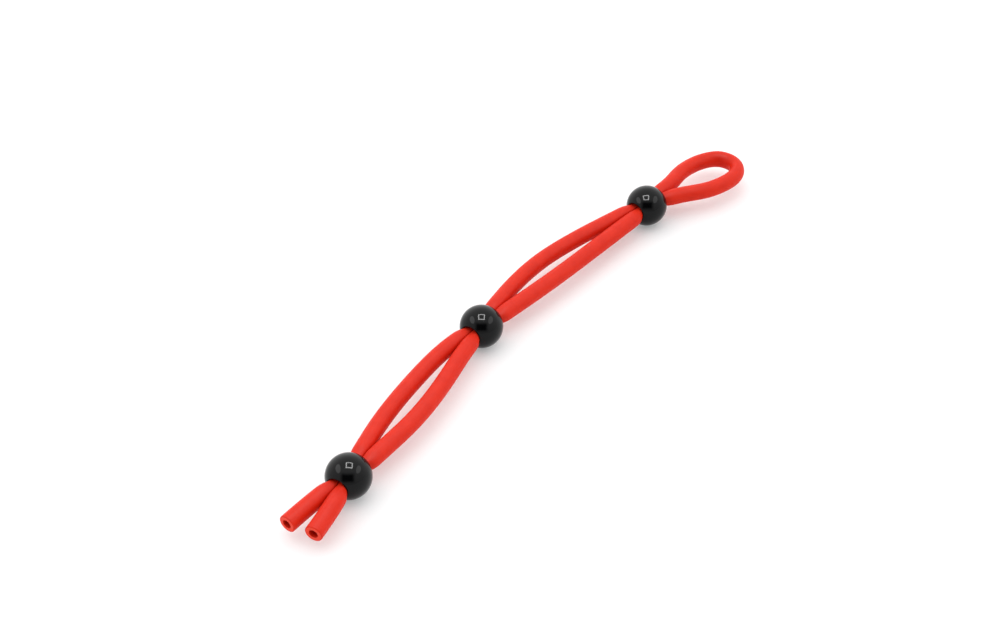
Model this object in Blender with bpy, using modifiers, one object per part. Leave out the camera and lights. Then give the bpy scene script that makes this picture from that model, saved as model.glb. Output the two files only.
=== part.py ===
"""Adjustable loop cord: one rubber tube folded double through three round sliding beads.

The tube's two cut ends lie side by side past the end bead, its fold is the loop past the
loop bead, and between the beads its two strands bow apart. Units are metres, +Z is up, the
three beads rest on z = 0, and +X runs from the end bead to the loop bead.
"""

import math

import bpy
import numpy as np
from mathutils import Vector

COLLECTION_NAME = "adjustable_loop_cord"

# Beads: balls with a straight bore, strung along their own bore axes.
BEAD_RADIUS = 0.0075
BORE_RADIUS = 0.0036
BORE_EDGE_RADIUS = 0.0003
BEAD_STEPS = 40
BEAD_ARC_STEPS = 14
BORE_EDGE_STEPS = 3

# Each bead's centre in plan and the heading of its bore, in degrees from +X.
BEADS = {
    "end_bead": ((-0.08730, -0.00447), 5.5),
    "middle_bead": ((-0.00494, 0.00447), 0.3),
    "loop_bead": ((0.08730, -0.00447), -10.0),
}

# Tube: its free outer radius, its wall, and how thin each strand is squeezed in a bore.
TUBE_RADIUS = 0.003
TUBE_WALL = 0.0015
SQUEEZED_RADIUS = 0.00158
SQUEEZED_TO = 0.0065
FREE_FROM = 0.0220
TUBE_BEVEL_RESOLUTION = 4
SAMPLES_PER_SPAN = 2

# The tube's centreline, from the left cut end round the loop to the right cut end.
ROUTE = [
    # left cut end and the end bead
    (-0.1139, -0.0022, 0.0073),
    (-0.1043, -0.0026, 0.0075),
    (-0.0925, -0.0031, 0.0075),
    (-0.0825, -0.0022, 0.0075),
    # left strand to the middle bead
    (-0.0680, 0.0015, 0.0074),
    (-0.0530, 0.0047, 0.0072),
    (-0.0380, 0.0066, 0.0072),
    (-0.0210, 0.0071, 0.0075),
    (-0.0099, 0.0062, 0.0075),
    (0.0001, 0.0063, 0.0075),
    # left strand to the loop bead
    (0.0140, 0.0080, 0.0074),
    (0.0380, 0.0087, 0.0071),
    (0.0530, 0.0061, 0.0072),
    (0.0690, 0.0018, 0.0075),
    (0.0827, -0.0018, 0.0075),
    (0.0925, -0.0035, 0.0075),
    # the loop
    (0.1054, -0.0043, 0.0075),
    (0.1123, -0.0038, 0.0074),
    (0.1198, -0.0047, 0.0072),
    (0.1260, -0.0071, 0.0070),
    (0.1300, -0.0109, 0.0069),
    (0.1306, -0.0160, 0.0068),
    (0.1275, -0.0202, 0.0069),
    (0.1222, -0.0214, 0.0070),
    (0.1157, -0.0204, 0.0072),
    (0.1087, -0.0175, 0.0074),
    (0.1030, -0.0134, 0.0075),
    # right strand back to the middle bead
    (0.0926, -0.0072, 0.0075),
    (0.0821, -0.0054, 0.0075),
    (0.0600, -0.0034, 0.0073),
    (0.0360, -0.0012, 0.0071),
    (0.0120, 0.0014, 0.0074),
    (0.0001, 0.0027, 0.0075),
    (-0.0099, 0.0027, 0.0075),
    # right strand back to the end bead
    (-0.0310, -0.0013, 0.0073),
    (-0.0570, -0.0053, 0.0072),
    (-0.0821, -0.0058, 0.0075),
    (-0.0921, -0.0068, 0.0075),
    # right cut end
    (-0.1035, -0.0095, 0.0075),
    (-0.1123, -0.0113, 0.0073),
]

COLOURS = {
    "tube_red": ((0.72, 0.045, 0.022, 1.0), 0.48),
    "bead_black": ((0.012, 0.012, 0.013, 1.0), 0.08),
}


def clear_scene():
    for old in list(bpy.data.objects):
        bpy.data.objects.remove(old, do_unlink=True)


def make_collection(name):
    collection = bpy.data.collections.new(name)
    bpy.context.scene.collection.children.link(collection)
    return collection


def make_material(name):
    colour, roughness = COLOURS[name]
    material = bpy.data.materials.new(name)
    material.use_nodes = True
    shader = material.node_tree.nodes["Principled BSDF"]
    shader.inputs["Base Color"].default_value = colour
    shader.inputs["Roughness"].default_value = roughness
    shader.inputs["Metallic"].default_value = 0.0
    return material


def arc(centre, radius, start, end, steps):
    """Points on an arc in the plane of (distance from the axis, height along it)."""
    points = []
    for step in range(steps + 1):
        angle = start + (end - start) * step / steps
        points.append(
            (centre[0] + radius * math.cos(angle), centre[1] + radius * math.sin(angle))
        )
    return points


def bead_profile():
    """The bead's half section: down the ball's outside, round the bore's edge, up the bore."""
    edge_out = BORE_RADIUS + BORE_EDGE_RADIUS
    edge_up = math.sqrt((BEAD_RADIUS - BORE_EDGE_RADIUS) ** 2 - edge_out**2)
    tangent = math.atan2(edge_up, edge_out)
    outside = arc((0, 0), BEAD_RADIUS, tangent, -tangent, BEAD_ARC_STEPS)
    low_edge = arc(
        (edge_out, -edge_up), BORE_EDGE_RADIUS, -tangent, -math.pi, BORE_EDGE_STEPS
    )
    top_edge = arc(
        (edge_out, edge_up), BORE_EDGE_RADIUS, math.pi, tangent, BORE_EDGE_STEPS
    )
    return outside[:-1] + low_edge + top_edge[:-1]


def make_bead(name, centre, heading, collection, material):
    """A ball turned about its bore, which lies level and points along the heading."""
    profile = bead_profile()
    count = len(profile)
    mesh = bpy.data.meshes.new(name)
    mesh.from_pydata(
        [(out, 0, up) for out, up in profile],
        [(i, (i + 1) % count) for i in range(count)],
        [],
    )
    bead = bpy.data.objects.new(name, mesh)
    bead.location = (centre[0], centre[1], BEAD_RADIUS)
    bead.rotation_euler = (0, math.pi / 2, math.radians(heading))
    turn = bead.modifiers.new("turn", "SCREW")
    turn.axis = "Z"
    turn.angle = math.tau
    turn.steps = BEAD_STEPS
    turn.render_steps = BEAD_STEPS
    turn.use_merge_vertices = True
    turn.merge_threshold = 0.00001
    turn.use_smooth_shade = True
    mesh.materials.append(material)
    collection.objects.link(bead)
    return bead


def smooth_curve(points, per_span):
    """Points on the natural cubic spline through the given ones, by chord length."""
    points = np.array(points)
    along = np.concatenate([[0], np.cumsum(np.linalg.norm(np.diff(points, axis=0), axis=1))])
    step = np.diff(along)
    count = len(points)
    system = np.eye(count)
    right = np.zeros_like(points)
    slope = np.diff(points, axis=0) / step[:, None]
    for i in range(1, count - 1):
        system[i, i - 1 : i + 2] = step[i - 1], 2 * (step[i - 1] + step[i]), step[i]
        right[i] = 6 * (slope[i] - slope[i - 1])
    bend = np.linalg.solve(system, right)
    smooth = []
    for i in range(count - 1):
        for share in np.arange(per_span) / per_span:
            u = share * step[i]
            linear = slope[i] - step[i] * (2 * bend[i] + bend[i + 1]) / 6
            cubic = (bend[i + 1] - bend[i]) / (6 * step[i])
            smooth.append(points[i] + linear * u + bend[i] / 2 * u**2 + cubic * u**3)
    smooth.append(points[-1])
    return smooth


def strand_radius(point):
    """Outer radius of a strand here: thin inside a bead's bore, full away from the beads."""
    centres = [Vector((*centre, BEAD_RADIUS)) for centre, _ in BEADS.values()]
    distance = min((Vector(point) - centre).length for centre in centres)
    share = (distance - SQUEEZED_TO) / (FREE_FROM - SQUEEZED_TO)
    share = min(max(share, 0.0), 1.0)
    ease = share * share * (3 - 2 * share)
    return SQUEEZED_RADIUS + (TUBE_RADIUS - SQUEEZED_RADIUS) * ease


def make_tube(name, collection, material):
    """The folded tube, open at both cut ends, its wall thickened inwards."""
    curve = bpy.data.curves.new(name, "CURVE")
    curve.dimensions = "3D"
    curve.bevel_depth = TUBE_RADIUS
    curve.bevel_resolution = TUBE_BEVEL_RESOLUTION
    spline = curve.splines.new("POLY")
    centreline = smooth_curve(ROUTE, SAMPLES_PER_SPAN)
    spline.points.add(len(centreline) - 1)
    for point, place in zip(spline.points, centreline):
        point.co = (*place, 1)
        point.radius = strand_radius(place) / TUBE_RADIUS
    spline.use_smooth = True
    tube = bpy.data.objects.new(name, curve)
    wall = tube.modifiers.new("wall", "SOLIDIFY")
    wall.thickness = TUBE_WALL
    wall.offset = -1
    curve.materials.append(material)
    collection.objects.link(tube)
    return tube


def main():
    clear_scene()
    collection = make_collection(COLLECTION_NAME)
    black = make_material("bead_black")
    for name, (centre, heading) in BEADS.items():
        make_bead(name, centre, heading, collection, black)
    make_tube("cord_tube", collection, make_material("tube_red"))


main()
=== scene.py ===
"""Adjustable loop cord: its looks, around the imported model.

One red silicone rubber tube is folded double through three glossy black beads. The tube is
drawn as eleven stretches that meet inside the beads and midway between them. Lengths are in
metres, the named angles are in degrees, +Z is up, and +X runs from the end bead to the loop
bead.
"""

import math

import bpy
import numpy as np
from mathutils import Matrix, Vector


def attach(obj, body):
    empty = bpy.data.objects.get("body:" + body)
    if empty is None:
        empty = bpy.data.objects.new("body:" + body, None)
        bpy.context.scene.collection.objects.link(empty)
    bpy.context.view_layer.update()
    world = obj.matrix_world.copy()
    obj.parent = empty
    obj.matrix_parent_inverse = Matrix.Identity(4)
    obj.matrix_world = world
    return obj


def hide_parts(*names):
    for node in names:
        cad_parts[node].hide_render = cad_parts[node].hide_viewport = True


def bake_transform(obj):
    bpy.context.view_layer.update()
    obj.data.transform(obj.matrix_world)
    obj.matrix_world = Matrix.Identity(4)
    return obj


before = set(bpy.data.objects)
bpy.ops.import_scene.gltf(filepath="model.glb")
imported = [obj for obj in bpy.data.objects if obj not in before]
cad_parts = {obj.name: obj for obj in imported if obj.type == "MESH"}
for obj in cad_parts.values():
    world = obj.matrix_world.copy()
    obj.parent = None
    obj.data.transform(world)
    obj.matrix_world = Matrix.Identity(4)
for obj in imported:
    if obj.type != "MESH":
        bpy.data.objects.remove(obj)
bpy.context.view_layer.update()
UP = np.array([0, 0, 1.0])

# Beads: balls with a straight bore. Each has its centre in plan and its bore's heading
# from +X.
BEAD_RADIUS = 0.0075
BORE_RADIUS = 0.0036
BORE_EDGE_RADIUS = 0.0003
BEAD_TURN_STEPS = 96
BEAD_ARC_STEPS = 48
BORE_EDGE_STEPS = 6
BORE_STEPS = 8
BEADS = {
    "end_bead": ((-0.08730, -0.00447), 5.5),
    "middle_bead": ((-0.00494, 0.00447), 0.3),
    "loop_bead": ((0.08730, -0.00447), -10.0),
}

# Tube: its free section and its mesh.
TUBE_RADIUS = 0.003
TUBE_WALL = 0.0015
TUBE_STEPS_ROUND = 56
RING_SPACING = 0.0009
SHARP_ANGLE = 50.0
STRAIGHT_TUBE = "straight_tube"

# The squeezed tube: its clearances in the bore, how fast it spreads past the bore's mouth,
# its height, how far from the bead's middle it is squeezed and is free again, its lumen's
# least share of its radius, and how sharply its flat sides meet its round ones.
BORE_CLEARANCE = 0.00006
STRAND_CLEARANCE = 0.00004
SPREAD_PAST_MOUTH = 0.60
SQUEEZED_HALF_HEIGHT = 0.0023
SQUEEZED_WITHIN = 0.0060
FREE_BEYOND = 0.0115
NARROWEST_LUMEN = 0.2
CORNER_SHARPNESS = 12

# Two places on the tube belong to different strands when they are this far apart along it,
# and a direction that faces away from the other strand counts as facing it this little.
STRANDS_APART = 0.020
LEAST_FACING = 1e-3

# The fold is flattened by its bend, in full at this radius of bend.
FOLD_FLATTENING = 0.10
FOLD_RADIUS = 0.0065

# The cut ends: the outer edge is worn round, and the lumen's edge is nearly sharp.
CUT_EDGE_RADIUS = 0.0003
LUMEN_EDGE_RADIUS = 0.00008
CUT_EDGE_STEPS = 4

# The place where a stretch would follow its bead is reckoned this far from the bead's middle.
FOLLOWS_BEAD_WITHIN = 0.007
BLEND_SAMPLES = 60

# The tube's centreline, from the left cut end round the loop to the right cut end.
ROUTE = [
    # left cut end and the end bead
    (-0.1139, -0.0022, 0.0073),
    (-0.1043, -0.0026, 0.0075),
    (-0.0925, -0.0031, 0.0075),
    (-0.0825, -0.0022, 0.0075),
    # left strand to the middle bead
    (-0.0680, 0.0015, 0.0074),
    (-0.0530, 0.0047, 0.0072),
    (-0.0380, 0.0066, 0.0072),
    (-0.0210, 0.0071, 0.0075),
    (-0.0099, 0.0062, 0.0075),
    (0.0001, 0.0063, 0.0075),
    # left strand to the loop bead
    (0.0140, 0.0080, 0.0074),
    (0.0380, 0.0087, 0.0071),
    (0.0530, 0.0061, 0.0072),
    (0.0690, 0.0018, 0.0075),
    (0.0827, -0.0018, 0.0075),
    (0.0925, -0.0035, 0.0075),
    # the loop
    (0.1054, -0.0043, 0.0075),
    (0.1123, -0.0038, 0.0074),
    (0.1198, -0.0047, 0.0072),
    (0.1260, -0.0071, 0.0070),
    (0.1300, -0.0109, 0.0069),
    (0.1306, -0.0160, 0.0068),
    (0.1275, -0.0202, 0.0069),
    (0.1222, -0.0214, 0.0070),
    (0.1157, -0.0204, 0.0072),
    (0.1087, -0.0175, 0.0074),
    (0.1030, -0.0134, 0.0075),
    # right strand back to the middle bead
    (0.0926, -0.0072, 0.0075),
    (0.0821, -0.0054, 0.0075),
    (0.0600, -0.0034, 0.0073),
    (0.0360, -0.0012, 0.0071),
    (0.0120, 0.0014, 0.0074),
    (0.0001, 0.0027, 0.0075),
    (-0.0099, 0.0027, 0.0075),
    # right strand back to the end bead
    (-0.0310, -0.0013, 0.0073),
    (-0.0570, -0.0053, 0.0072),
    (-0.0821, -0.0058, 0.0075),
    (-0.0921, -0.0068, 0.0075),
    # right cut end
    (-0.1035, -0.0095, 0.0075),
    (-0.1123, -0.0113, 0.0073),
]
SAMPLES_PER_SPAN = 40

# The beads in the order that the tube meets them, and the stretches between the stations.
BEADS_ALONG = ["end_bead", "middle_bead", "loop_bead", "loop_bead", "middle_bead", "end_bead"]
STRETCHES = [
    ("left_tail", "end_bead"),
    ("left_strand_1", "end_bead"),
    ("left_strand_2", "middle_bead"),
    ("left_strand_3", "middle_bead"),
    ("left_strand_4", "loop_bead"),
    ("loop_fold", "loop_bead"),
    ("right_strand_4", "loop_bead"),
    ("right_strand_3", "middle_bead"),
    ("right_strand_2", "middle_bead"),
    ("right_strand_1", "end_bead"),
    ("right_tail", "end_bead"),
]
TAILS = {"left_strand_1": "left_tail", "right_strand_1": "right_tail"}

# Colours and roughness, each from one end of its faint variation to the other.
TUBE_REDS = ((0.620, 0.014, 0.0012), (0.680, 0.018, 0.0020))
TUBE_ROUGHNESS = (0.46, 0.58)
TUBE_SPECULAR = 0.15
# The cut face's reds are paler than the tube's: partly the paler cut silicone, partly painted
# light for the light from the front that falls on the face.
CUT_REDS_WITH_PAINTED_LIGHT = ((0.760, 0.032, 0.007), (0.840, 0.042, 0.012))
CUT_ROUGHNESS = (0.50, 0.62)
CUT_SPECULAR = 0.25
BEAD_BLACKS = ((0.0012, 0.0013, 0.0015), (0.0022, 0.0023, 0.0026))
BEAD_ROUGHNESS = (0.035, 0.075)
BEAD_SPECULAR = 0.165
FLOOR_WHITES = ((0.74, 0.74, 0.74), (0.76, 0.76, 0.76))
FLOOR_ROUGHNESS = 0.9
FLOOR_SPECULAR = 0.1
FLOOR_GLOW_COLOUR = (0.92, 0.99, 1, 1)
FLOOR_GLOW = 0.23

# Textures: how many features there are to a metre, and how high they stand.
CLOUDS_PER_METRE = 260
GRAINS_PER_METRE = 5200
GRAIN_HEIGHT = 0.000016
DRAW_LINES_PER_METRE = (60, 1600, 1600)
DRAW_LINE_HEIGHT = 0.000025
CUT_MARKS_PER_METRE = (300, 300, 5200)
CUT_MARK_HEIGHT = 0.00003
WAVES_PER_METRE = 230
WAVE_HEIGHT = 0.00006
HANDLING_MARKS_PER_METRE = 2600
FIBRES_PER_METRE = 900

# The part of a noise texture's range that most of its values are in.
NOISE_RANGE = (0.3, 0.7)

# Camera and floor.
CAMERA_PLACE = (-0.374858, -0.268425, 0.3960)
CAMERA_TILT = 50.0
CAMERA_HEADING = 35.625
CAMERA_LENS = 63.3
CAMERA_SENSOR = 36.0
CAMERA_NEAREST = 0.01
FLOOR_SIZE = 12.0

# The tent: its brightness at the front and the back, how high it is brightest, the range of
# the cosine of the angle from there over which it changes, and the dark opening in front.
WORLD_FRONT = 0.89
WORLD_BACK = 1.60
WORLD_BRIGHTEST_ELEVATION = 55.0
WORLD_FACING_RANGE = 0.9
TENT_COLOUR = (1, 1, 1)
OPENING_COLOUR = (0.01, 0.01, 0.01)
OPENING_ELEVATION = 36.0
OPENING_HALF_WIDTH = 31.0
OPENING_HALF_HEIGHT = 21.0
OPENING_SOFT_EDGE = 12.0

# Lights: a square ring overhead, and a soft box at either side.
RING_HEIGHT = 0.50
RING_OUTER = 0.27
RING_STRIP = 0.040
RING_RADIANCE = 27.0
SIDE_DISTANCE = 0.80
SIDE_ELEVATION = 44.0
SIDE_HEADING = 95.0
SIDE_SIZE = (0.60, 0.32)
SIDE_RADIANCES = (2.0, 1.6)


# ---------------------------------------------------------------- shape of the tube


def lengths_along(points):
    """The length from the first point to each, by chords."""
    return np.concatenate([[0], np.cumsum(np.linalg.norm(np.diff(points, axis=0), axis=1))])


def smooth_curve(points, per_span):
    """Points on the natural cubic spline through the given ones, by chord length."""
    points = np.array(points)
    step = np.diff(lengths_along(points))
    count = len(points)
    system = np.eye(count)
    right = np.zeros_like(points)
    slope = np.diff(points, axis=0) / step[:, None]
    for i in range(1, count - 1):
        system[i, i - 1 : i + 2] = step[i - 1], 2 * (step[i - 1] + step[i]), step[i]
        right[i] = 6 * (slope[i] - slope[i - 1])
    bend = np.linalg.solve(system, right)
    smooth = []
    for i in range(count - 1):
        for share in np.arange(per_span) / per_span:
            u = share * step[i]
            linear = slope[i] - step[i] * (2 * bend[i] + bend[i + 1]) / 6
            cubic = (bend[i + 1] - bend[i]) / (6 * step[i])
            smooth.append(points[i] + linear * u + bend[i] / 2 * u**2 + cubic * u**3)
    smooth.append(points[-1])
    return np.array(smooth)


def unit(vectors):
    """The vectors at length 1."""
    return vectors / np.linalg.norm(vectors, axis=-1, keepdims=True)


def ease(value, start, end):
    """0 at start and 1 at end, turning smoothly."""
    share = np.clip((value - start) / (end - start), 0, 1)
    return share * share * (3 - 2 * share)


def bead_centre(name):
    """The bead's centre: it lies on the floor."""
    (x, y), _ = BEADS[name]
    return np.array([x, y, BEAD_RADIUS])


def bead_axis(name):
    """The direction of the bead's bore, which lies level."""
    heading = math.radians(BEADS[name][1])
    return np.array([math.cos(heading), math.sin(heading), 0])


class Centreline:
    """The tube's centreline by length: places, tangents, bends and the strand beside it."""

    def __init__(self):
        self.points = smooth_curve(ROUTE, SAMPLES_PER_SPAN)
        self.along = lengths_along(self.points)
        self.length = self.along[-1]
        self.tangents = unit(np.gradient(self.points, self.along, axis=0))
        turn = np.gradient(self.tangents, self.along, axis=0)
        self.bends = np.linalg.norm(turn, axis=1)

    def at(self, distance, values):
        """The values at this length along the tube."""
        return np.array([np.interp(distance, self.along, column) for column in values.T])

    def place(self, distance):
        return self.at(distance, self.points)

    def tangent(self, distance):
        return unit(self.at(distance, self.tangents))

    def bend(self, distance):
        return np.interp(distance, self.along, self.bends)

    def beside(self, distance):
        """From the tube here to the strand beside it, square to the tube."""
        place, tangent = self.place(distance), self.tangent(distance)
        ahead = (self.points - place) @ tangent
        apart = np.abs(self.along - distance) > STRANDS_APART
        crossings = np.nonzero((ahead[:-1] * ahead[1:] <= 0) & apart[:-1] & apart[1:])[0]
        nearest = None
        for i in crossings:
            share = ahead[i] / (ahead[i] - ahead[i + 1])
            offset = self.points[i] * (1 - share) + self.points[i + 1] * share - place
            if nearest is None or np.linalg.norm(offset) < np.linalg.norm(nearest):
                nearest = offset
        return nearest

    def passes(self):
        """The length at which the tube passes each bead's centre, in order."""
        found = []
        after = 0.0
        for name in BEADS_ALONG:
            height = (self.points - bead_centre(name)) @ bead_axis(name)
            near = np.linalg.norm(self.points - bead_centre(name), axis=1) < BEAD_RADIUS
            cross = (height[:-1] * height[1:] <= 0) & near[:-1] & (self.along[:-1] > after)
            i = np.nonzero(cross)[0][0]
            share = height[i] / (height[i] - height[i + 1])
            found.append(self.along[i] * (1 - share) + self.along[i + 1] * share)
            after = found[-1] + BEAD_RADIUS
        return found


def stations(line):
    """Where the tube's stretches meet: its ends, inside the beads and midway between them."""
    a, b, c, d, e, f = line.passes()
    return [0, a, (a + b) / 2, b, (b + c) / 2, c, d, (d + e) / 2, e, (e + f) / 2, f, line.length]


def ring_frame(line, distance):
    """The ring's centre, and its sideways and upward directions, square to the tube."""
    tangent = line.tangent(distance)
    up = unit(UP - (UP @ tangent) * tangent)
    return line.place(distance), np.cross(up, tangent), up


def bore_reach(place, directions):
    """How far each direction goes before the wall of the nearest bead's bore, and how far
    from that bead's middle the place is."""
    name = min(BEADS, key=lambda bead: np.linalg.norm(place - bead_centre(bead)))
    axis = bead_axis(name)
    offset = place - bead_centre(name)
    depth = offset @ axis
    offset = offset - depth * axis
    flat = directions - np.outer(directions @ axis, axis)
    mouth = math.sqrt(BEAD_RADIUS**2 - BORE_RADIUS**2) - BORE_EDGE_RADIUS
    wall = BORE_RADIUS - BORE_CLEARANCE + SPREAD_PAST_MOUTH * max(abs(depth) - mouth, 0)
    squared = (flat**2).sum(axis=1)
    toward = flat @ offset
    room = toward**2 - squared * (offset @ offset - wall**2)
    return (np.sqrt(np.maximum(room, 0)) - toward) / squared, abs(depth)


def ring_radii(line, distance, angles):
    """The tube's outer radius round its section: round where it is free, and flattened
    against the other strand, inside a bore and at the fold of the loop."""
    place, side, up = ring_frame(line, distance)
    directions = np.outer(np.cos(angles), side) + np.outer(np.sin(angles), up)
    bore, depth = bore_reach(place, directions)
    squeeze = 1 - ease(depth, SQUEEZED_WITHIN, FREE_BEYOND)
    flatter = FOLD_FLATTENING * min(line.bend(distance) * FOLD_RADIUS, 1)
    wide = TUBE_RADIUS * (1 - flatter)
    high = TUBE_RADIUS * (1 + flatter) + (SQUEEZED_HALF_HEIGHT - TUBE_RADIUS) * squeeze
    free = 1 / np.hypot(np.cos(angles) / wide, np.sin(angles) / high)
    total = free**-CORNER_SHARPNESS + bore**-CORNER_SHARPNESS
    beside = line.beside(distance)
    if beside is not None:
        gap = np.linalg.norm(beside)
        facing = np.maximum(directions @ (beside / gap), LEAST_FACING)
        plane = (gap / 2 - STRAND_CLEARANCE) / facing
        total = total + plane**-CORNER_SHARPNESS
    return total ** (-1 / CORNER_SHARPNESS)


def lumen_radii(radii):
    """The lumen's radii: the wall keeps its thickness until the lumen is a slit."""
    return np.maximum(radii - TUBE_WALL, NARROWEST_LUMEN * radii)


def edge_insets(edge_radius):
    """(distance from the cut, inset) down a rounded edge, from the cut face inwards."""
    angles = np.linspace(math.pi / 2, 0, CUT_EDGE_STEPS + 1)
    return [(edge_radius * (1 - math.sin(a)), edge_radius * (1 - math.cos(a))) for a in angles]


def stretch_rings(line, start, end):
    """(distance along the tube, inset) of the outer rings and of the lumen's rings."""
    count = max(int(round((end - start) / RING_SPACING)), 2)
    between = [(distance, 0.0) for distance in np.linspace(start, end, count + 1)]
    outer, lumen = list(between), list(between)
    if start == 0:
        outer = edge_insets(CUT_EDGE_RADIUS) + outer[1:]
        lumen = edge_insets(LUMEN_EDGE_RADIUS) + lumen[1:]
    if end == line.length:
        for rings, radius in ((outer, CUT_EDGE_RADIUS), (lumen, LUMEN_EDGE_RADIUS)):
            rings.pop()
            rings += [(end - back, inset) for back, inset in reversed(edge_insets(radius))]
    return outer, lumen


def closed_grid(loops, across):
    """The faces of a grid that closes on itself both ways, its points listed by loops."""
    return [
        (
            loop * across + k,
            loop * across + (k + 1) % across,
            (loop + 1) % loops * across + (k + 1) % across,
            (loop + 1) % loops * across + k,
        )
        for loop in range(loops)
        for k in range(across)
    ]


def new_object(name, points, faces, materials):
    """An object with a mesh of these points, faces and materials."""
    mesh = bpy.data.meshes.new(name)
    mesh.from_pydata(points, [], faces)
    for material in materials:
        mesh.materials.append(material)
    piece = bpy.data.objects.new(name, mesh)
    bpy.context.scene.collection.objects.link(piece)
    return piece


def ring_points(line, outer, lumen):
    """The points of a stretch, ring by ring, up its outside and back down its lumen: as
    the tube lies, and as they are with the tube pulled straight."""
    angles = np.arange(TUBE_STEPS_ROUND) * math.tau / TUBE_STEPS_ROUND
    points, straight = [], []
    for rings, inside in ((outer, False), (reversed(lumen), True)):
        for distance, inset in rings:
            place, side, up = ring_frame(line, distance)
            radii = ring_radii(line, distance, angles)
            radii = lumen_radii(radii) + inset if inside else radii - inset
            across, high = radii * np.cos(angles), radii * np.sin(angles)
            points.append(place + np.outer(across, side) + np.outer(high, up))
            straight.append(np.stack([np.full_like(across, distance), across, high], axis=1))
    return np.concatenate(points), np.concatenate(straight)


def make_stretch(name, line, start, end, materials):
    """One stretch of tube, a closed body with the lumen through it."""
    outer, lumen = stretch_rings(line, start, end)
    ring_count = len(outer) + len(lumen)
    points, straight = ring_points(line, outer, lumen)
    faces = closed_grid(ring_count, TUBE_STEPS_ROUND)
    piece = new_object(name, points.tolist(), faces, materials)
    mesh = piece.data
    mark_cut_faces(mesh, line, start, end, len(outer), ring_count)
    attribute = mesh.attributes.new(STRAIGHT_TUBE, "FLOAT_VECTOR", "POINT")
    attribute.data.foreach_set("vector", straight.ravel())
    mesh.shade_smooth()
    mesh.set_sharp_from_angle(angle=math.radians(SHARP_ANGLE))
    mesh.validate()
    return piece


def mark_cut_faces(mesh, line, start, end, outer_count, ring_count):
    """The knife-cut face at either end of the tube takes the second material."""
    cut_rings = []
    if start == 0:
        cut_rings.append(ring_count - 1)
    if end == line.length:
        cut_rings.append(outer_count - 1)
    for ring in cut_rings:
        for k in range(TUBE_STEPS_ROUND):
            mesh.polygons[ring * TUBE_STEPS_ROUND + k].material_index = 1


def blend_ends(line, body, start, end):
    """The place where the stretch would stay with the cord, and the place where it would follow
    its bead.
    """
    centre, axis = bead_centre(body), bead_axis(body)
    places = [line.place(d) for d in np.linspace(start, end, BLEND_SAMPLES)]
    heights = [(place - centre) @ axis for place in places]
    far = max(range(len(places)), key=lambda i: abs(heights[i]))
    side = math.copysign(FOLLOWS_BEAD_WITHIN, heights[far])
    leaves_and_returns = abs(heights[0] - heights[-1]) < FOLLOWS_BEAD_WITHIN
    if leaves_and_returns:
        return places[far], centre + side * axis
    return places[far], min(places, key=lambda place: abs((place - centre) @ axis - side))


def make_tube(materials):
    """The whole tube, stretch by stretch, in place of the imported one."""
    line = Centreline()
    places = stations(line)
    pieces = {}
    for (name, body), start, end in zip(STRETCHES, places[:-1], places[1:]):
        piece = make_stretch(name, line, start, end, materials)
        stays, follows = blend_ends(line, body, start, end)
        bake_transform(piece)
        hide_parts("cord_tube")
        pieces[name] = (piece, body, start, end)
    for name in pieces:
        if name not in TAILS.values():
            declare_cord(line, pieces, name)


def declare_cord(line, pieces, name):
    """The stretch's centreline points, listed from the end nearer its bead; nothing more is done
    with them.
    """
    piece, body, start, end = pieces[name]
    distances = np.linspace(start, end, int(round((end - start) / RING_SPACING)) + 1)
    path = [line.place(distance) for distance in distances]
    centre = bead_centre(body)
    if np.linalg.norm(path[0] - centre) > np.linalg.norm(path[-1] - centre):
        path.reverse()


# ---------------------------------------------------------------- shape of the beads


def arc(centre, radius, start, end, steps):
    """Points on an arc in the plane of (distance from the axis, height along it)."""
    angles = np.linspace(start, end, steps + 1)
    return [(centre[0] + radius * math.cos(a), centre[1] + radius * math.sin(a)) for a in angles]


def bead_profile():
    """The bead's half section: down the ball's outside, round the bore's edge, up the bore."""
    edge_out = BORE_RADIUS + BORE_EDGE_RADIUS
    edge_up = math.sqrt((BEAD_RADIUS - BORE_EDGE_RADIUS) ** 2 - edge_out**2)
    tangent = math.atan2(edge_up, edge_out)
    outside = arc((0, 0), BEAD_RADIUS, tangent, -tangent, BEAD_ARC_STEPS)
    low = arc((edge_out, -edge_up), BORE_EDGE_RADIUS, -tangent, -math.pi, BORE_EDGE_STEPS)
    top = arc((edge_out, edge_up), BORE_EDGE_RADIUS, math.pi, tangent, BORE_EDGE_STEPS)
    bore = [(BORE_RADIUS, up) for up in np.linspace(-edge_up, edge_up, BORE_STEPS + 1)[1:-1]]
    return outside[:-1] + low + bore + top[:-1]


def make_bead(name, material):
    """A ball turned about its bore, which lies level and points along the heading."""
    profile = np.array(bead_profile())
    centre, axis = bead_centre(name), bead_axis(name)
    side = np.cross(UP, axis)
    points = []
    for angle in np.arange(BEAD_TURN_STEPS) * math.tau / BEAD_TURN_STEPS:
        outward = math.cos(angle) * side + math.sin(angle) * UP
        points.append(centre + np.outer(profile[:, 0], outward) + np.outer(profile[:, 1], axis))
    faces = closed_grid(BEAD_TURN_STEPS, len(profile))
    bead = new_object(name + "_ball", np.concatenate(points).tolist(), faces, [material])
    bead.data.shade_smooth()
    bead.data.validate()
    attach(bead, name)
    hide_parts(name)


# ---------------------------------------------------------------- materials


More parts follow.
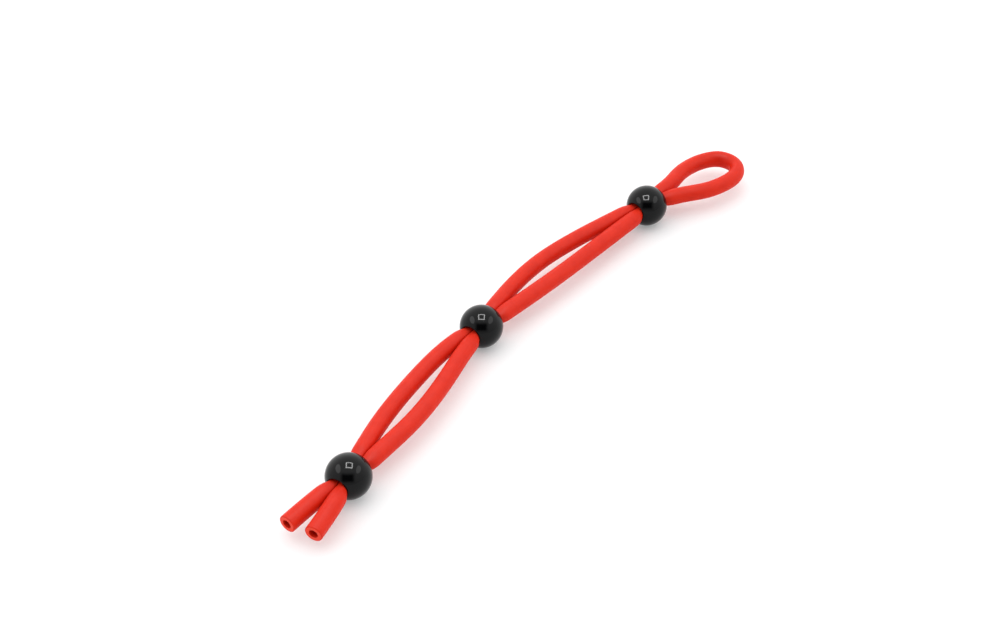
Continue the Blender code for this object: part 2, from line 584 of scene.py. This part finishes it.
class Nodes:
    """Short calls to add and link the nodes of one material or world. Those that make a
    node return its output."""

    def __init__(self, tree):
        self.tree = tree

    def add(self, kind, **settings):
        node = self.tree.nodes.new(kind)
        for name, value in settings.items():
            setattr(node, name, value)
        return node

    def link(self, source, target):
        self.tree.links.new(source, target)

    def set_sockets(self, node, **values):
        """Set sockets by name, an underscore standing for each space."""
        for name, value in values.items():
            node.inputs[name.replace("_", " ")].default_value = value

    def noise(self, vector, scale, detail=2.0, roughness=0.5):
        node = self.add("ShaderNodeTexNoise")
        self.set_sockets(node, Scale=scale, Detail=detail, Roughness=roughness)
        self.link(vector, node.inputs["Vector"])
        return node.outputs["Fac"]

    def stretched(self, vector, scale):
        """The coordinates scaled by a different number along each axis."""
        node = self.add("ShaderNodeMapping")
        self.set_sockets(node, Scale=scale)
        self.link(vector, node.inputs["Vector"])
        return node.outputs["Vector"]

    def ramp(self, value, low, high, span=NOISE_RANGE, **settings):
        """From low to high as the value goes through its span."""
        node = self.add("ShaderNodeMapRange", **settings)
        self.set_sockets(node, From_Min=span[0], From_Max=span[1], To_Min=low, To_Max=high)
        self.link(value, node.inputs["Value"])
        return node.outputs["Result"]

    def between(self, value, first, second):
        """The first colour where the value is 0 and the second where it is 1."""
        node = self.add("ShaderNodeMix", data_type="RGBA")
        self.set_sockets(node, A=(*first, 1), B=(*second, 1))
        self.link(value, node.inputs["Factor"])
        return node.outputs["Result"]

    def bump(self, height, distance, under=None):
        """Normals of a surface raised by the height, on top of the normals under it."""
        node = self.add("ShaderNodeBump")
        self.set_sockets(node, Strength=1.0, Distance=distance)
        self.link(height, node.inputs["Height"])
        if under is not None:
            self.link(under, node.inputs["Normal"])
        return node.outputs["Normal"]

    def product(self, first, second):
        node = self.add("ShaderNodeMath", operation="MULTIPLY")
        self.link(first, node.inputs[0])
        self.link(second, node.inputs[1])
        return node.outputs["Value"]


def new_material(name, **values):
    """A material, its nodes and its shader, with the shader's even values set."""
    material = bpy.data.materials.new(name)
    material.use_nodes = True
    nodes = Nodes(material.node_tree)
    shader = material.node_tree.nodes["Principled BSDF"]
    nodes.set_sockets(shader, **values)
    return material, nodes, shader.inputs


def straight_coordinates(nodes):
    """Coordinates of the tube pulled straight, so that its grain follows its bends."""
    return nodes.add("ShaderNodeAttribute", attribute_name=STRAIGHT_TUBE).outputs["Vector"]


def object_coordinates(nodes):
    """Coordinates in metres that go with the object."""
    return nodes.add("ShaderNodeTexCoord").outputs["Object"]


def tube_material():
    """Satin silicone rubber: cloudy pigment, faint draw lines and a fine matte grain."""
    material, nodes, sockets = new_material("tube_red", Specular_IOR_Level=TUBE_SPECULAR)
    place = straight_coordinates(nodes)
    cloud = nodes.ramp(nodes.noise(place, CLOUDS_PER_METRE, detail=3), 0, 1)
    grain = nodes.noise(place, GRAINS_PER_METRE)
    lines = nodes.noise(nodes.stretched(place, DRAW_LINES_PER_METRE), 1)
    surface = nodes.bump(grain, GRAIN_HEIGHT)
    surface = nodes.bump(lines, DRAW_LINE_HEIGHT, under=surface)
    nodes.link(nodes.between(cloud, *TUBE_REDS), sockets["Base Color"])
    nodes.link(nodes.ramp(lines, *TUBE_ROUGHNESS), sockets["Roughness"])
    nodes.link(surface, sockets["Normal"])
    return material


def cut_material():
    """The knife-cut face: the same rubber with fine parallel drag marks, paler partly as cut
    silicone is and partly as painted light for the light from the front that falls on it.
    """
    material, nodes, sockets = new_material("tube_cut_face", Specular_IOR_Level=CUT_SPECULAR)
    place = straight_coordinates(nodes)
    marks = nodes.noise(nodes.stretched(place, CUT_MARKS_PER_METRE), 1, detail=3)
    # Base colour of the cut face: a paler red, partly painted light.
    nodes.link(nodes.between(nodes.ramp(marks, 0, 1), *CUT_REDS_WITH_PAINTED_LIGHT), sockets["Base Color"])
    nodes.link(nodes.ramp(marks, *CUT_ROUGHNESS), sockets["Roughness"])
    nodes.link(nodes.bump(marks, CUT_MARK_HEIGHT), sockets["Normal"])
    return material


def bead_material():
    """Glossy moulded plastic: polished, with a faint waviness and handling marks."""
    material, nodes, sockets = new_material("bead_black", Specular_IOR_Level=BEAD_SPECULAR)
    place = object_coordinates(nodes)
    wave = nodes.noise(place, WAVES_PER_METRE, detail=1)
    marks = nodes.noise(place, HANDLING_MARKS_PER_METRE, detail=4, roughness=0.6)
    nodes.link(nodes.between(marks, *BEAD_BLACKS), sockets["Base Color"])
    nodes.link(nodes.ramp(marks, *BEAD_ROUGHNESS), sockets["Roughness"])
    nodes.link(nodes.bump(wave, WAVE_HEIGHT), sockets["Normal"])
    return material


def floor_material():
    """A matte white sheet, faintly lit from below, as a light table is."""
    material, nodes, sockets = new_material(
        "white_paper",
        Roughness=FLOOR_ROUGHNESS,
        Specular_IOR_Level=FLOOR_SPECULAR,
        Emission_Color=FLOOR_GLOW_COLOUR,
        Emission_Strength=FLOOR_GLOW,
    )
    fibres = nodes.noise(object_coordinates(nodes), FIBRES_PER_METRE, detail=3)
    nodes.link(nodes.between(fibres, *FLOOR_WHITES), sockets["Base Color"])
    return material


# ---------------------------------------------------------------- stage, lights, camera


def make_floor():
    """The sheet that the beads lie on."""
    half = FLOOR_SIZE / 2
    corners = [(-half, -half, 0), (half, -half, 0), (half, half, 0), (-half, half, 0)]
    new_object("floor", corners, [(0, 1, 2, 3)], [floor_material()])


def make_light(name, shape, place, size, radiance, aim=None, heading=0.0):
    """A flat light of the given radiance, facing down or at a point. It shows only in
    glossy surfaces, so that the tent alone lights the matte ones."""
    light = bpy.data.lights.new(name, "AREA")
    light.shape = shape
    light.size, light.size_y = size
    light.energy = radiance * math.pi * size[0] * size[1]
    holder = bpy.data.objects.new(name, light)
    holder.location = place
    holder.visible_diffuse = False
    if aim is None:
        holder.rotation_euler = (0, 0, math.radians(heading))
    else:
        toward = Vector(aim) - Vector(place)
        holder.rotation_euler = toward.to_track_quat("-Z", "Y").to_euler()
    bpy.context.scene.collection.objects.link(holder)


def make_ring_light():
    """The square ring of light overhead, which the beads show as a small hollow square."""
    reach = (RING_OUTER - RING_STRIP) / 2
    inner = RING_OUTER - 2 * RING_STRIP
    for turn in range(4):
        angle = math.radians(CAMERA_HEADING + 90 * turn)
        place = (reach * math.cos(angle), reach * math.sin(angle), RING_HEIGHT)
        length = RING_OUTER if turn % 2 == 0 else inner
        make_light(
            f"ring_strip_{turn}",
            "RECTANGLE",
            place,
            (RING_STRIP, length),
            RING_RADIANCE,
            heading=CAMERA_HEADING + 90 * turn,
        )


def make_side_lights():
    """Two faint soft boxes, high to the left and right."""
    for side, radiance in zip((-1, 1), SIDE_RADIANCES):
        heading = math.radians(CAMERA_HEADING - side * SIDE_HEADING)
        flat = SIDE_DISTANCE * math.cos(math.radians(SIDE_ELEVATION))
        place = (
            flat * math.cos(heading),
            flat * math.sin(heading),
            SIDE_DISTANCE * math.sin(math.radians(SIDE_ELEVATION)),
        )
        make_light(f"side_box_{side}", "ELLIPSE", place, SIDE_SIZE, radiance, aim=(0, 0, 0))


def tent_opening(nodes, direction):
    """1 inside the dark opening that the picture is taken through, and 0 outside it."""
    turned = nodes.add("ShaderNodeVectorRotate", rotation_type="EULER_XYZ", invert=True)
    turned.inputs["Rotation"].default_value = (
        0,
        -math.radians(OPENING_ELEVATION),
        math.radians(CAMERA_HEADING + 180),
    )
    nodes.link(direction, turned.inputs["Vector"])
    parts = nodes.add("ShaderNodeSeparateXYZ")
    nodes.link(turned.outputs["Vector"], parts.inputs["Vector"])
    facing = nodes.add("ShaderNodeMath", operation="GREATER_THAN")
    nodes.link(parts.outputs["X"], facing.inputs[0])
    facing.inputs[1].default_value = 0
    inside = facing.outputs["Value"]
    for axis, half_angle in (("Y", OPENING_HALF_WIDTH), ("Z", OPENING_HALF_HEIGHT)):
        away = nodes.add("ShaderNodeMath", operation="ABSOLUTE")
        nodes.link(parts.outputs[axis], away.inputs[0])
        outer_edge = math.sin(math.radians(half_angle + OPENING_SOFT_EDGE))
        inner_edge = math.sin(math.radians(half_angle - OPENING_SOFT_EDGE))
        within = nodes.ramp(
            away.outputs["Value"],
            0,
            1,
            span=(outer_edge, inner_edge),
            interpolation_type="SMOOTHSTEP",
        )
        inside = nodes.product(inside, within)
    return inside


def tent_brightness(nodes, direction):
    """The tent is brightest high at the back and dimmest low at the front."""
    heading, rise = math.radians(CAMERA_HEADING), math.radians(WORLD_BRIGHTEST_ELEVATION)
    toward = nodes.add("ShaderNodeVectorMath", operation="DOT_PRODUCT")
    toward.inputs[1].default_value = (
        math.cos(heading) * math.cos(rise),
        math.sin(heading) * math.cos(rise),
        math.sin(rise),
    )
    nodes.link(direction, toward.inputs[0])
    return nodes.ramp(
        toward.outputs["Value"],
        WORLD_FRONT,
        WORLD_BACK,
        span=(-WORLD_FACING_RANGE, WORLD_FACING_RANGE),
        interpolation_type="SMOOTHSTEP",
    )


def make_world():
    """A white tent all round, with a dark opening."""
    world = bpy.data.worlds.new("white_tent")
    world.use_nodes = True
    bpy.context.scene.world = world
    nodes = Nodes(world.node_tree)
    background = world.node_tree.nodes["Background"]
    direction = nodes.add("ShaderNodeTexCoord").outputs["Generated"]
    colour = nodes.between(tent_opening(nodes, direction), TENT_COLOUR, OPENING_COLOUR)
    nodes.link(colour, background.inputs["Color"])
    nodes.link(tent_brightness(nodes, direction), background.inputs["Strength"])


def make_camera():
    """The camera, looking down at the cord from the cut ends' side."""
    camera = bpy.data.cameras.new("camera")
    camera.sensor_width = CAMERA_SENSOR
    camera.lens = CAMERA_LENS
    camera.clip_start = CAMERA_NEAREST
    holder = bpy.data.objects.new("camera", camera)
    holder.location = CAMERA_PLACE
    holder.rotation_euler = (
        math.radians(CAMERA_TILT),
        0,
        math.radians(CAMERA_HEADING - 90),
    )
    bpy.context.scene.collection.objects.link(holder)
    bpy.context.scene.camera = holder


make_camera()
make_tube([tube_material(), cut_material()])
bead_finish = bead_material()
for bead_name in BEADS:
    make_bead(bead_name, bead_finish)
make_floor()
make_ring_light()
make_side_lights()
make_world()
bpy.context.scene.view_settings.view_transform = "Standard"
